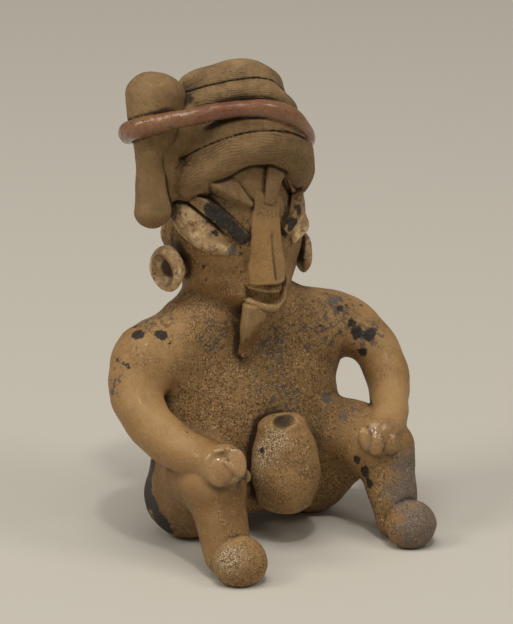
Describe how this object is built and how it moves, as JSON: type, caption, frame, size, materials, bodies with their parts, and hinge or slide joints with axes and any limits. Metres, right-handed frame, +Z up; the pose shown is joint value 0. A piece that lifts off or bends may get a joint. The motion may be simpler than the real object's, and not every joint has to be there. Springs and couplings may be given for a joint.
{
  "type": "seated clay figure",
  "caption": "Hand-modelled seated figure of fired clay with a wound turban, ear spools and a small barrel between its knees; a free-standing ornament.",
  "frame": {"origin": "middle of the bounding box at the height of the surface it stands on", "axes": "+Z up, the figure faces -Y, its own left side is +X"},
  "size_m": [0.0928, 0.0756, 0.1374],
  "materials": {
    "clay": "matte, burnished in places"
  },
  "bodies": {
    "root": {"seated_figure": "clay"}
  },
  "joints": []
}
